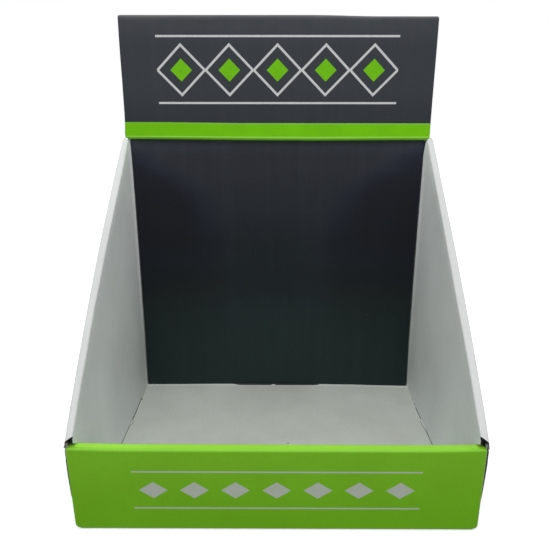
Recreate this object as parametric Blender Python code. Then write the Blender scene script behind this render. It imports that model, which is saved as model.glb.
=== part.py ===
"""Cardboard counter display: a folded corrugated tray with a raised back header.

Metres, +Z up. The front faces -Y, X runs left to right as seen from the front.
The origin is the centre of the bounding box on the surface the tray stands on.
Every panel between two creases is its own object; each moving group hangs on an
empty that lies on its crease.
"""
import math

import bpy
import bmesh
from mathutils import Matrix, Vector

MM = 0.001

# ---------------------------------------------------------------- dimensions (mm)
BOARD = 1.5            # board thickness
GAP = 0.3              # clearance between touching panels
WIDTH = 240.0          # outside width over the side walls
DEPTH = 181.3          # outside depth, front face to back face
HEIGHT = 303.5         # overall height to the top of the header

FRONT_HEIGHT = 54.7    # front wall, floor to the top of the roll
FRONT_ROLL = 6.5       # depth of the roll on the front wall
FRONT_HALF = 119.8     # half width of the front outer panel

SIDE_ROLL = 4.85       # thickness of the double side wall
SLOPE_Y0, SLOPE_Z0 = 1.2, 63.1      # front end of the sloping top edge
SLOPE_Y1, SLOPE_Z1 = 168.0, 213.6   # rear end of the sloping top edge
SIDE_SHOULDER = 212.8  # flat top of the side wall behind the slope
SIDE_MITRE = 1.5       # how much shorter the inner edge of the roll is
NOSE_Z = 57.0          # underside of the side lining where it passes over the front wall

HEADER_HALF = 117.0    # half width of the header
HEADER_FRONT = 170.4   # front face of the header, from the front of the tray
HEADER_LOW = 215.2     # underside of the header
BACK_FACE = 175.6      # front face of the back lining
LINING_HALF = 114.6    # half width of the front and back linings

FLAP_REACH = 50.0      # front corner flap, swing radius
FLAP_TOP = 38.0        # front corner flap, height inside the wall
REAR_FLAP_REACH = 58.0
REAR_FLAP_TOP = 180.0

SLOT_Y0, SLOT_Y1 = 108.0, 150.0     # floor slot under each side lining
SLOT_DEEP = 113.4                   # inner edge of that slot, from the middle
TAB_Y0, TAB_Y1 = 112.0, 146.0       # tab of the side lining
BACK_TAB_HALF = 37.5
FRONT_TAB_HALF = 30.0
TAB_CLEAR = 0.4

SLOPE = math.atan2(SLOPE_Z1 - SLOPE_Z0, SLOPE_Y1 - SLOPE_Y0)
MID = DEPTH / 2.0

# ---------------------------------------------------------------- scene
for old in list(bpy.data.objects):
    bpy.data.objects.remove(old, do_unlink=True)

PARTS = bpy.data.collections.new("counter_display")
bpy.context.scene.collection.children.link(PARTS)


def material(name, colour, rough):
    mat = bpy.data.materials.new(name)
    mat.use_nodes = True
    bsdf = mat.node_tree.nodes["Principled BSDF"]
    bsdf.inputs["Base Color"].default_value = (*colour, 1.0)
    bsdf.inputs["Roughness"].default_value = rough
    bsdf.inputs["Metallic"].default_value = 0.0
    return mat


GREEN = (0.128, 0.345, 0.014)
BLACK = (0.026, 0.030, 0.032)
WHITE = (0.700, 0.715, 0.690)


def crease(name, x, y, z, parent=None):
    """Empty on a crease line; y is measured from the front of the tray."""
    empty = bpy.data.objects.new(name, None)
    empty.empty_display_size = 0.01
    PARTS.objects.link(empty)
    here = Vector((x, y - MID, z)) * MM
    empty["crease_at"] = list(here)
    if parent is not None:
        empty.parent = parent
        here = here - Vector(parent["crease_at"])
    empty.location = here
    return empty


def rounded(points, radii, steps=4):
    """Closed outline with its corners replaced by arcs of the given radii."""
    out = []
    count = len(points)
    for i in range(count):
        here = Vector(points[i])
        radius = radii[i] if radii else 0.0
        if radius <= 0.0:
            out.append((here.x, here.y))
            continue
        to_a = (Vector(points[i - 1]) - here).normalized()
        to_b = (Vector(points[(i + 1) % count]) - here).normalized()
        half = 0.5 * to_a.angle(to_b)
        reach = radius / math.tan(half)
        centre = here + (to_a + to_b).normalized() * (radius / math.sin(half))
        start, end = here + to_a * reach - centre, here + to_b * reach - centre
        a0 = math.atan2(start.y, start.x)
        turn = math.atan2(end.y, end.x) - a0
        turn = (turn + math.pi) % (2.0 * math.pi) - math.pi
        for k in range(steps + 1):
            a = a0 + turn * k / steps
            out.append((centre.x + radius * math.cos(a), centre.y + radius * math.sin(a)))
    return out


def panel(name, frame, outlines, colour, rough, hinge=None):
    """Flat board: outlines in mm in the plane of frame, BOARD thick about it."""
    curve = bpy.data.curves.new(name + "_outline", "CURVE")
    curve.dimensions = "2D"
    curve.fill_mode = "BOTH"
    curve.extrude = BOARD * MM / 2.0
    for outline in outlines:
        spline = curve.splines.new("POLY")
        spline.points.add(len(outline) - 1)
        for point, (u, v) in zip(spline.points, outline):
            point.co = (u * MM, v * MM, 0.0, 1.0)
        spline.use_cyclic_u = True
    flat = bpy.data.objects.new(name + "_outline", curve)
    PARTS.objects.link(flat)
    flat.matrix_world = frame
    graph = bpy.context.evaluated_depsgraph_get()
    mesh = bpy.data.meshes.new_from_object(flat.evaluated_get(graph))
    place = flat.matrix_world.copy()
    bpy.data.objects.remove(flat, do_unlink=True)
    work = bmesh.new()
    work.from_mesh(mesh)
    bmesh.ops.remove_doubles(work, verts=work.verts, dist=1e-6)
    bmesh.ops.recalc_face_normals(work, faces=work.faces)
    work.to_mesh(mesh)
    work.free()
    mesh.name = name
    board = bpy.data.objects.new(name, mesh)
    PARTS.objects.link(board)
    mesh.materials.clear()
    mesh.materials.append(material(name + "_board", colour, rough))
    if hinge is not None:
        board.parent = hinge
        board.matrix_parent_inverse = Matrix.Translation(-Vector(hinge["crease_at"]))
    board.matrix_basis = place
    return board


def frame_at(u_axis, v_axis, origin):
    """World frame of a board: its two in-plane axes and its mid-plane origin in mm."""
    u, v = Vector(u_axis), Vector(v_axis)
    n = u.cross(v)
    rows = Matrix((u, v, n)).transposed().to_4x4()
    return Matrix.Translation(Vector(origin) * MM) @ rows


def facing_y(y_front):
    """Boards standing across the tray: u is X, v is Z."""
    return frame_at((1, 0, 0), (0, 0, 1), (0.0, y_front + BOARD / 2.0 - MID, 0.0))


def lying(z_low):
    """Boards lying flat: u is X, v is Y from the front of the tray."""
    return frame_at((1, 0, 0), (0, 1, 0), (0.0, -MID, z_low + BOARD / 2.0))


def facing_x(x_low):
    """Boards along the tray: u is Y from the front of the tray, v is Z."""
    return frame_at((0, 1, 0), (0, 0, 1), (x_low + BOARD / 2.0, -MID, 0.0))


def rect(u0, u1, v0, v1):
    return [(u0, v0), (u1, v0), (u1, v1), (u0, v1)]


def symmetric(right_half):
    """Outline from its right half, listed bottom to top."""
    return right_half + [(-u, v) for u, v in reversed(right_half)]


# ---------------------------------------------------------------- creases
half = WIDTH / 2.0
base_empty = crease("base_frame", 0.0, MID, 0.0)
left_fold = crease("left_side_crease", -half, MID, 0.0, base_empty)
right_fold = crease("right_side_crease", half, MID, 0.0, base_empty)
front_fold = crease("front_crease", 0.0, 0.0, 0.0, base_empty)
front_roll_fold = crease("front_roll_crease", 0.0, 0.0, FRONT_HEIGHT, front_fold)
front_lining_fold = crease("front_lining_crease", 0.0, FRONT_ROLL, FRONT_HEIGHT, front_roll_fold)
back_fold = crease("back_crease", 0.0, DEPTH, 0.0, base_empty)
header_top_fold = crease("header_top_crease", 0.0, DEPTH, HEIGHT, back_fold)
header_front_fold = crease("header_front_crease", 0.0, HEADER_FRONT, HEIGHT, header_top_fold)
ledge_fold = crease("ledge_crease", 0.0, HEADER_FRONT, HEADER_LOW, header_front_fold)
lining_fold = crease("back_lining_crease", 0.0, BACK_FACE + BOARD, HEADER_LOW + BOARD, ledge_fold)

# ---------------------------------------------------------------- floor
base_x = half - BOARD - GAP
base_y0, base_y1 = BOARD + GAP, DEPTH - BOARD - GAP
right_edge = [
    (base_x, base_y0),
    (base_x, SLOT_Y0),
    (SLOT_DEEP, SLOT_Y0),
    (SLOT_DEEP, SLOT_Y1),
    (base_x, SLOT_Y1),
    (base_x, base_y1),
]
front_slot = rect(-FRONT_TAB_HALF - TAB_CLEAR, FRONT_TAB_HALF + TAB_CLEAR,
                  FRONT_ROLL - BOARD - TAB_CLEAR, FRONT_ROLL + TAB_CLEAR)
back_slot = rect(-BACK_TAB_HALF - TAB_CLEAR, BACK_TAB_HALF + TAB_CLEAR,
                 BACK_FACE - TAB_CLEAR, BACK_FACE + BOARD + TAB_CLEAR)
panel("base_panel", lying(0.0), [symmetric(right_edge), front_slot, back_slot],
      WHITE, 0.75, base_empty)

# bottom tabs of the linings, standing in the floor slots
tab_low, tab_high = 0.1, BOARD
panel("front_lock_tab", facing_y(FRONT_ROLL - BOARD),
      [rect(-FRONT_TAB_HALF, FRONT_TAB_HALF, tab_low, tab_high)], WHITE, 0.75, base_empty)
panel("back_lock_tab", facing_y(BACK_FACE),
      [rect(-BACK_TAB_HALF, BACK_TAB_HALF, tab_low, tab_high)], BLACK, 0.5, base_empty)

# ---------------------------------------------------------------- front wall
wall_top = FRONT_HEIGHT - BOARD - GAP
panel("front_outer_panel", facing_y(0.0),
      [rounded(rect(-FRONT_HALF, FRONT_HALF, 0.0, wall_top), [2.0, 2.0, 0.0, 0.0])],
      GREEN, 0.45, front_fold)
panel("front_top_roll", lying(FRONT_HEIGHT - BOARD),
      [symmetric([(FRONT_HALF, 0.0), (LINING_HALF, FRONT_ROLL)])],
      GREEN, 0.45, front_roll_fold)
panel("front_inner_panel", facing_y(FRONT_ROLL - BOARD),
      [rect(-LINING_HALF, LINING_HALF, BOARD + GAP, wall_top)],
      GREEN, 0.45, front_lining_fold)

# ---------------------------------------------------------------- side walls
drop = (BOARD + GAP) / math.cos(SLOPE)       # panels stop below the roll


def under_slope(y):
    return SLOPE_Z0 + (y - SLOPE_Y0) * math.tan(SLOPE) - drop


shoulder_y = SLOPE_Y0 + (SIDE_SHOULDER + drop - SLOPE_Z0) / math.tan(SLOPE)
outer_y0, outer_y1 = BOARD + GAP, DEPTH - BOARD - GAP
inner_y0, inner_y1 = FRONT_ROLL + GAP, BACK_FACE - GAP
nose_y = BOARD + 0.5
slope_length = math.hypot(SLOPE_Y1 - SLOPE_Y0, SLOPE_Z1 - SLOPE_Z0)

for side, sign, hinge in (("L", -1.0, left_fold), ("R", 1.0, right_fold)):
    outer_low = half - BOARD if sign > 0 else -half
    inner_face = half - SIDE_ROLL
    inner_low = inner_face if sign > 0 else -inner_face - BOARD

    panel("side_outer_panel_" + side, facing_x(outer_low),
          [[(outer_y0, 0.0), (outer_y1, 0.0), (outer_y1, SIDE_SHOULDER),
            (shoulder_y, SIDE_SHOULDER), (outer_y0, under_slope(outer_y0))]],
          BLACK, 0.5, hinge)

    floor_z = BOARD + GAP
    panel("side_inner_panel_" + side, facing_x(inner_low),
          [[(inner_y0, floor_z), (TAB_Y0, floor_z), (TAB_Y0 + 1.0, 0.2), (TAB_Y1 - 1.0, 0.2),
            (TAB_Y1, floor_z), (inner_y1, floor_z), (inner_y1, SIDE_SHOULDER),
            (shoulder_y, SIDE_SHOULDER), (nose_y, under_slope(nose_y)),
            (nose_y, NOSE_Z), (inner_y0, NOSE_Z)]],
          WHITE, 0.75, hinge)

    # the roll lies along the slope: u runs up the slope, v inward from the outer face
    along = (0.0, math.cos(SLOPE), math.sin(SLOPE))
    inward = (-sign, 0.0, 0.0)
    normal = Vector(along).cross(Vector(inward))
    down = -1.0 if normal.z > 0 else 1.0
    origin = (Vector((sign * half, SLOPE_Y0 - MID, SLOPE_Z0)) + normal * (down * BOARD / 2.0))
    panel("side_top_roll_" + side, frame_at(along, inward, origin),
          [[(0.0, 0.0), (slope_length, 0.0), (slope_length, SIDE_ROLL), (SIDE_MITRE, SIDE_ROLL)]],
          WHITE, 0.75, hinge)

    flap_x = half - BOARD - GAP
    tip_x = half - FLAP_REACH * 0.94
    front_flap = [(flap_x, 2.2), (flap_x, FLAP_TOP), (half - 32.0, FLAP_TOP), (tip_x, 16.0),
                  (tip_x, 2.2)]
    panel("front_corner_flap_" + side, facing_y(BOARD + GAP),
          [rounded([(sign * u, v) for u, v in front_flap], [0, 1.0, 5.0, 5.0, 1.5])],
          BLACK, 0.5, hinge)
    tip_x = half - REAR_FLAP_REACH
    rear_flap = [(flap_x, 3.0), (flap_x, REAR_FLAP_TOP), (tip_x, REAR_FLAP_TOP - 22.0),
                 (tip_x, 14.0)]
    panel("rear_corner_flap_" + side, facing_y(BACK_FACE + BOARD + 0.6),
          [rounded([(sign * u, v) for u, v in rear_flap], [0, 2.0, 8.0, 8.0])],
          BLACK, 0.5, hinge)

# ---------------------------------------------------------------- back wall and header
back_top = HEIGHT - BOARD - GAP
shoulder = SIDE_SHOULDER + 1.2
panel("back_outer_panel", facing_y(DEPTH - BOARD),
      [symmetric([(FRONT_HALF, 0.0), (FRONT_HALF, shoulder), (HEADER_HALF, shoulder + 2.0),
                  (HEADER_HALF, back_top)])],
      BLACK, 0.5, back_fold)
panel("header_top_roll", lying(HEIGHT - BOARD),
      [rect(-HEADER_HALF, HEADER_HALF, HEADER_FRONT, DEPTH)], BLACK, 0.5, header_top_fold)
panel("header_front_panel", facing_y(HEADER_FRONT),
      [rect(-HEADER_HALF, HEADER_HALF, HEADER_LOW + BOARD + GAP, back_top)],
      BLACK, 0.5, header_front_fold)
panel("header_ledge", lying(HEADER_LOW),
      [symmetric([(HEADER_HALF, HEADER_FRONT), (LINING_HALF, BACK_FACE + BOARD)])],
      GREEN, 0.45, ledge_fold)
panel("back_inner_panel", facing_y(BACK_FACE),
      [rect(-LINING_HALF, LINING_HALF, BOARD + GAP, HEADER_LOW - GAP)],
      BLACK, 0.5, lining_fold)
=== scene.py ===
import math

import bmesh
import bpy
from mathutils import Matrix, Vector, noise


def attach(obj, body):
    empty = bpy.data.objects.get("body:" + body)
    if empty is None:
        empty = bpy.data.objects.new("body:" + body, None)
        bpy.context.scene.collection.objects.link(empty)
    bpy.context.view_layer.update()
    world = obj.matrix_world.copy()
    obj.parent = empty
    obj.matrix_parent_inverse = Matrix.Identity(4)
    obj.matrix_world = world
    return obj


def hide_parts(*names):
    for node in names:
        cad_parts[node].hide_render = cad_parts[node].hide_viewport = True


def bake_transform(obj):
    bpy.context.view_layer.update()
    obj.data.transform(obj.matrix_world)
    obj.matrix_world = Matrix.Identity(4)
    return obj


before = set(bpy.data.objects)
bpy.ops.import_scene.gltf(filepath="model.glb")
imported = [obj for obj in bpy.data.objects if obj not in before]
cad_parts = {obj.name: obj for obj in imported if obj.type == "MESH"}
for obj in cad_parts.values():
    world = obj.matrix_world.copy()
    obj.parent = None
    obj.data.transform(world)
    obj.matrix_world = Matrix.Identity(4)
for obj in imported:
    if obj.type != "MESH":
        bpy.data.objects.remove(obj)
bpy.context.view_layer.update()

# ------------------------------------------------------------------ sizes (mm, y from the front)
MM = 0.001
T = 1.5
WIDTH, DEPTH, HEIGHT = 240.0, 181.3, 303.5
HALF = WIDTH / 2
MID = DEPTH / 2
FRONT_H, FRONT_ROLL, BACK_HALF = 54.7, 6.5, 119.8
FRONT_L, FRONT_R = 120.4, 119.5      # half widths of the front panel at its top
SIDE_ROLL = 4.85
SY0, SZ0, SY1, SZ1 = 1.2, 63.1, 168.0, 213.6
SLOPE = math.atan2(SZ1 - SZ0, SY1 - SY0)
SLOPE_LEN = math.hypot(SY1 - SY0, SZ1 - SZ0)
SHOULDER = 212.8
HEADER_HALF, HEADER_Y, HEADER_LOW = 117.0, 170.4, 215.2
BACK_Y, LINING = 175.6, 114.6
BAND_TOP = 228.5
R_LEDGE = 2.0
FLUTE = 3.3
LINER, MEDIUM = 0.24, 0.18

X, Y, Z = Vector((1, 0, 0)), Vector((0, 1, 0)), Vector((0, 0, 1))


def slope_z(y):
    return SZ0 + (y - SY0) * math.tan(SLOPE)


# ------------------------------------------------------------------ small warps of the folded board
def clip(v, lo=0.0, hi=1.0):
    return min(max(v, lo), hi)


FLARE = {-1: ((4.0, 0.0), (28.0, 2.5), (52.0, 2.8), (57.0, 1.1), (58.4, 0.8), (60.0, 0.3)),
         1: ((8.0, 0.0), (26.0, 1.5), (43.0, 2.2), (52.0, 2.3), (57.0, 0.6), (58.5, 0.25), (60.5, 0.0))}
# how much further out than the bow the lining's top edge stands, along the wall
INSET = {-1: ((0.0, 0.0), (7.8, 0.2), (14.4, 0.42), (28.0, 0.25), (36.0, 0.03), (62.0, 0.0), (75.0, -0.42), (91.0, -0.42), (108.0, -0.65),
              (147.0, -0.78), (156.0, -0.45), (164.0, -0.45), (171.0, -0.05), (176.0, 0.0)),
         1: ((0.0, 0.0), (14.0, -0.28), (28.0, -0.25), (36.0, -0.35), (50.0, -0.55), (66.0, -0.90), (76.0, -0.93), (100.0, -0.83), (112.0, -0.73),
             (128.0, -0.50), (145.0, -0.28), (156.0, -0.08), (176.0, 0.0))}
REAR_FOOT = {-1: 0.9, 1: 0.7}      # the linings' rear lower corners stand out by this much
# header: sideways shift of its two edges over its height, and the sag of its lower edge
HEAD_L = ((217.0, -0.78), (220.0, -0.66), (224.0, -0.32), (228.0, -0.14), (234.0, 0.06), (242.0, 0.08), (265.0, 0.26), (277.0, 0.08), (288.0, 0.22), (300.0, 0.40))
HEAD_R = ((217.0, 0.65), (221.0, 0.48), (226.0, 0.42), (242.0, 0.39), (260.0, 0.45), (288.0, 0.55), (300.0, 0.50))
HEAD_SAG = ((-117.0, 0.5), (-103.0, 0.45), (-87.0, 0.3), (-25.0, -0.4), (31.0, -0.7), (92.0, -0.25), (117.0, -0.15))


# how far the foot of the back lining stands forward, along its width
FOOT_BOW = ((-115.0, 1.15), (-86.0, 0.8), (-60.0, 0.2), (-45.0, 0.0), (30.0, 0.2), (65.0, 0.8), (83.0, 1.9), (101.0, 2.7), (115.0, 3.2))


def profile(z, table):
    if z <= table[0][0]:
        return table[0][1]
    for (z0, v0), (z1, v1) in zip(table, table[1:]):
        if z <= z1:
            return v0 + (v1 - v0) * (z - z0) / (z1 - z0)
    return table[-1][1]


def side_bow(p):
    """The free top edges of the side walls bow outwards a little between front and back; the
    front end of the outer layer stands out by a millimetre or two and sags."""
    if abs(p.x) < 112.0:
        return Vector((0, 0, 0))
    left = p.x < 0
    t = clip((p.y - 2.0) / 168.0)
    h = clip(p.z / slope_z(min(p.y, SY1)))
    d = (1.95 if left else 1.6) * math.sin(math.pi * t) ** 0.9 * h ** 1.7
    outer = clip((abs(p.x) - 115.6) / 4.0)
    end = clip(1.0 - (p.y + 0.6) / 22.0) ** 2
    d += profile(p.z, FLARE[-1 if left else 1]) * end * outer
    d += (0.7 if left else 0.1) * end * clip((p.z - 20.0) / 35.0) * (1.0 - outer)
    sag = 1.5 * end ** 2 * outer * clip((p.z - 52.0) / 8.0)
    d += profile(p.y, INSET[-1 if left else 1]) * (1.0 - outer) * h ** 1.7
    d += REAR_FOOT[-1 if left else 1] * (1.0 - outer) * clip((p.y - 128.0) / 46.0) * clip(1.0 - p.z / 115.0)
    if not left:
        d += 0.45 * outer * clip((p.z - 188.0) / 16.0)
    return Vector((math.copysign(d, p.x), 0, -sag))


def front_lift(p):
    """The two ends of the front wall's top edge stand up slightly."""
    if p.y > 12.0:
        return Vector((0, 0, 0))
    return Vector((0, 0, 0.85 * clip((abs(p.x) - 80.0) / 40.0) ** 1.6 * clip((p.z - 25.0) / 28.0) ** 2))


def roll_skew(p):
    """The front roll is a little deeper on the left than on the right."""
    if p.y > 12.0:
        return Vector((0, 0, 0))
    return Vector((0, -0.2 * p.x / 115.0 * clip((p.y - 0.6) / 5.0), 0))


def roll_warp(p):
    return roll_skew(p) + front_lift(p)


def head_droop(p):
    """The right end of the header's top fold sits slightly lower than the left, and the
    header widens a little towards its lower edge, which sags to the right of the middle."""
    t = clip((p.x - 25.0) / 50.0)
    wide = profile(p.z, HEAD_L if p.x < 0 else HEAD_R) * abs(p.x) / HEADER_HALF * clip((p.z - 205.0) / 10.0)
    sag = profile(p.x, HEAD_SAG) * clip((236.0 - p.z) / 14.0) * clip((p.z - 206.0) / 8.0)
    top = 0.42 * clip((p.z - 285.0) / 18.0) - 0.9 * t * t * (3 - 2 * t) * clip((p.z - 260.0) / 43.0)
    return Vector((wide, 0, top + sag))


def back_droop(p):
    q = head_droop(p)
    return Vector((q.x * clip((p.z - 218.0) / 8.0), 0, q.z * clip((p.z - 236.0) / 8.0)))


def foot_bow(p):
    """The foot of the back lining stands forward at its two corners, most on the right."""
    return Vector((0, -profile(p.x, FOOT_BOW) * clip(1.0 - p.z / 55.0) ** 1.5, 0))


def low_sag(p):
    return Vector((0, 0, profile(p.x, HEAD_SAG) * clip((p.z - 206.0) / 8.0)))


# ------------------------------------------------------------------ meshes
def finish_mesh(name, verts, faces, mats, index, angle=35):
    mesh = bpy.data.meshes.new(name)
    mesh.from_pydata([(v[0] * MM, (v[1] - MID) * MM, v[2] * MM) for v in verts], [], faces)
    for m in mats:
        mesh.materials.append(m)
    mesh.polygons.foreach_set("material_index", index)
    work = bmesh.new()
    work.from_mesh(mesh)
    bmesh.ops.recalc_face_normals(work, faces=work.faces)
    work.to_mesh(mesh)
    work.free()
    mesh.shade_smooth()
    mesh.set_sharp_from_angle(angle=math.radians(angle))
    mesh.validate()
    obj = bpy.data.objects.new(name, mesh)
    bpy.context.scene.collection.objects.link(obj)
    return obj


def planar(outline, holes, du, dv, extra=()):
    """Flat region of an outline with holes, cut along a regular grid so that it can bend."""
    work = bmesh.new()
    if holes:
        edges = []
        for loop in [outline] + holes:
            vs = [work.verts.new((a, b, 0)) for a, b in loop]
            edges += [work.edges.new((vs[i], vs[(i + 1) % len(vs)])) for i in range(len(vs))]
        bmesh.ops.triangle_fill(work, edges=edges, use_beauty=True, normal=(0, 0, 1))
    else:
        work.faces.new([work.verts.new((a, b, 0)) for a, b in outline])
    for axis, step in ((0, du), (1, dv)):
        lo = min(p[axis] for p in outline)
        hi = max(p[axis] for p in outline)
        count = max(1, int(round((hi - lo) / step)))
        cuts = [lo + (hi - lo) * k / count + 0.0137 for k in range(1, count)]
        cuts += [q for which, q in extra if which == axis and lo + 0.2 < q < hi - 0.2]
        for q in cuts:
            co = [0.0, 0.0, 0.0]
            no = [0.0, 0.0, 0.0]
            co[axis] = q
            no[axis] = 1.0
            geom = list(work.verts) + list(work.edges) + list(work.faces)
            bmesh.ops.bisect_plane(work, geom=geom, dist=1e-5, plane_co=co, plane_no=no)
    bmesh.ops.remove_doubles(work, verts=work.verts, dist=1e-4)
    for f in work.faces:
        f.normal_update()
        if f.normal.z < 0:
            f.normal_flip()
    work.verts.index_update()
    pts = [(v.co.x, v.co.y) for v in work.verts]
    faces = [[v.index for v in f.verts] for f in work.faces]
    rim = []
    for e in work.edges:
        if len(e.link_faces) == 1:
            loop = e.link_loops[0]
            rim.append((loop.vert.index, loop.link_loop_next.vert.index))
    work.free()
    return pts, faces, rim


def spans_at(loops, axis, q):
    """Where the line at q crosses the outline: sorted pairs along the other axis."""
    cuts = []
    for loop in loops:
        for i in range(len(loop)):
            p, r = loop[i], loop[(i + 1) % len(loop)]
            if (p[axis] - q) * (r[axis] - q) < 0:
                t = (q - p[axis]) / (r[axis] - p[axis])
                cuts.append(p[1 - axis] + t * (r[1 - axis] - p[1 - axis]))
    cuts.sort()
    return [(cuts[i], cuts[i + 1]) for i in range(0, len(cuts) - 1, 2)]


def board(name, body, nodes, origin, u, v, outline, mats, flute="v", holes=(), grid=(14, 14),
          warp=None, shift=None, dense=None, extra=()):
    """Corrugated board: two liners and the fluted sheet between them, outline in mm.
    The face looks along u x v; flute names the axis that the flutes run along."""
    n = u.cross(v)
    holes = [list(h) for h in holes]
    outline = list(outline)

    def place(a, b, c):
        p = origin + u * a + v * b + n * c
        if shift:
            p = p + shift(p)
        if warp:
            p = p + warp(p)
        return p

    pts, flat, rim = planar(outline, holes, *grid, extra=extra)
    verts, faces, index = [], [], []
    for top, low, out_top, out_low in ((T / 2, T / 2 - LINER, 0, 2), (-T / 2 + LINER, -T / 2, 2, 1)):
        start = len(verts)
        count = len(pts)
        verts += [place(a, b, top) for a, b in pts]
        verts += [place(a, b, low) for a, b in pts]
        for f in flat:
            faces.append([start + i for i in f])
            index.append(out_top)
            faces.append([start + count + i for i in reversed(f)])
            index.append(out_low)
        for i, j in rim:
            faces.append([start + j, start + i, start + count + i, start + count + j])
            index.append(2)
    # fluted sheet
    axis = 0 if flute == "v" else 1
    lo = min(p[axis] for p in outline) + 0.05
    hi = max(p[axis] for p in outline) - 0.05
    steps = max(8, int(round((hi - lo) / (FLUTE / 8))))
    rows = 26 if dense else 14 if (warp or shift) else 1
    amp = T / 2 - LINER - MEDIUM / 2 - 0.01
    loops = [outline] + holes
    runs, live = [], []
    for k in range(steps + 1):
        q = lo + (hi - lo) * k / steps + 1e-4
        c = amp * math.sin(2 * math.pi * q / FLUTE)
        found = spans_at(loops, axis, q)
        if len(found) != len(live):
            live = [[] for _ in found]
            runs += live
        for run, (b0, b1) in zip(live, found):
            run.append((q, c, b0 + 0.03, b1 - 0.03))
    for run in runs:
        if len(run) < 3:
            continue
        start = len(verts)
        wide = 2 * (rows + 1)
        for q, c, b0, b1 in run:
            for side in (MEDIUM / 2, -MEDIUM / 2):
                for r in range(rows + 1):
                    f = r / rows
                    f = f ** 2 if dense == "lo" else 1 - (1 - f) ** 2 if dense == "hi" else f
                    b = b0 + (b1 - b0) * f
                    verts.append(place(q, b, c + side) if axis == 0 else place(b, q, c + side))
        for k in range(len(run) - 1):
            a0, a1 = start + k * wide, start + (k + 1) * wide
            for r in range(rows):
                faces.append([a0 + r, a1 + r, a1 + r + 1, a0 + r + 1])
                faces.append([a0 + rows + 1 + r, a0 + rows + 2 + r, a1 + rows + 2 + r, a1 + rows + 1 + r])
            faces.append([a0, a0 + rows + 1, a1 + rows + 1, a1])
            faces.append([a0 + rows, a1 + rows, a1 + wide - 1, a0 + wide - 1])
            index += [2] * (2 * rows + 2)
        for k in (0, len(run) - 1):
            a0 = start + k * wide
            for r in range(rows):
                faces.append([a0 + r, a0 + r + 1, a0 + rows + 2 + r, a0 + rows + 1 + r])
                index.append(2)
    obj = finish_mesh(name, verts, faces, mats, index)
    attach(obj, body)
    if nodes:
        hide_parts(*nodes)
    return obj


def fold(name, p0, p1, a, b, radius, mats, body=None, blend=None, thick=0.55, ext=(0.0, 0.0),
         span=None, seg=8, step=10.0, warp=None, wobble=0.05, flip=False, dense=1.0):
    """Bent strip of board round a crease. The two outer faces meet on the line p0-p1; a and b
    point from that line along the two panels. span cuts the strip's ends to length."""
    e = (p1 - p0).normalized()
    length = (p1 - p0).length
    outer, inner = [], []
    if ext[0] > 0:
        outer.append(a * (radius + ext[0]))
        inner.append(a * (radius + ext[0]) + b * thick)
    for k in range(seg + 1):
        w = 0.5 * math.pi * k / seg
        d = b * math.cos(w) + a * math.sin(w)
        outer.append((a + b) * radius - d * radius)
        inner.append((a + b) * radius - d * (radius - thick))
    if ext[1] > 0:
        outer.append(b * (radius + ext[1]))
        inner.append(b * (radius + ext[1]) + a * thick)
    count = len(outer)
    along = max(2, int(length / step))
    verts = []
    for ring in (outer, inner):
        for q in ring:
            s0, s1 = (0.0, length) if span is None else span(p0 + q)
            for j in range(along + 1):
                p = p0 + q + e * (s0 + (s1 - s0) * (j / along) ** dense)
                if wobble:
                    inward = (a + b).normalized()
                    p = p + inward * (wobble * noise.noise(p * 0.11 + Vector((radius, 7.1, 3.3))))
                if warp:
                    p = p + warp(p)
                verts.append(p)
    faces, index = [], []
    w = along + 1

    def at(ring, i, j):
        return (ring * count + i) * w + j

    for i in range(count - 1):
        for j in range(along):
            faces.append([at(0, i, j), at(0, i + 1, j), at(0, i + 1, j + 1), at(0, i, j + 1)])
            faces.append([at(1, i, j), at(1, i, j + 1), at(1, i + 1, j + 1), at(1, i + 1, j)])
            index += [1, 0] if flip else [0, 1]
        for j in (0, along):
            faces.append([at(0, i, j), at(0, i + 1, j), at(1, i + 1, j), at(1, i, j)])
            index.append(2)
    for i in (0, count - 1):
        for j in range(along):
            faces.append([at(0, i, j), at(0, i, j + 1), at(1, i, j + 1), at(1, i, j)])
            index.append(2)
    obj = finish_mesh(name, verts, faces, mats, index, angle=50)
    if blend:
        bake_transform(obj)
    else:
        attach(obj, body)
    return obj


def rounded(points, radii, steps=5):
    out = []
    count = len(points)
    for i in range(count):
        here = Vector(points[i])
        r = radii[i]
        if r <= 0:
            out.append((here.x, here.y))
            continue
        pa = (Vector(points[i - 1]) - here).normalized()
        pb = (Vector(points[(i + 1) % count]) - here).normalized()
        h = 0.5 * pa.angle(pb)
        c = here + (pa + pb).normalized() * (r / math.sin(h))
        s, t = here + pa * (r / math.tan(h)) - c, here + pb * (r / math.tan(h)) - c
        a0 = math.atan2(s.y, s.x)
        turn = (math.atan2(t.y, t.x) - a0 + math.pi) % (2 * math.pi) - math.pi
        for k in range(steps + 1):
            g = a0 + turn * k / steps
            out.append((c.x + r * math.cos(g), c.y + r * math.sin(g)))
    return out


def rect(u0, u1, v0, v1):
    return [(u0, v0), (u1, v0), (u1, v1), (u0, v1)]


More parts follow.
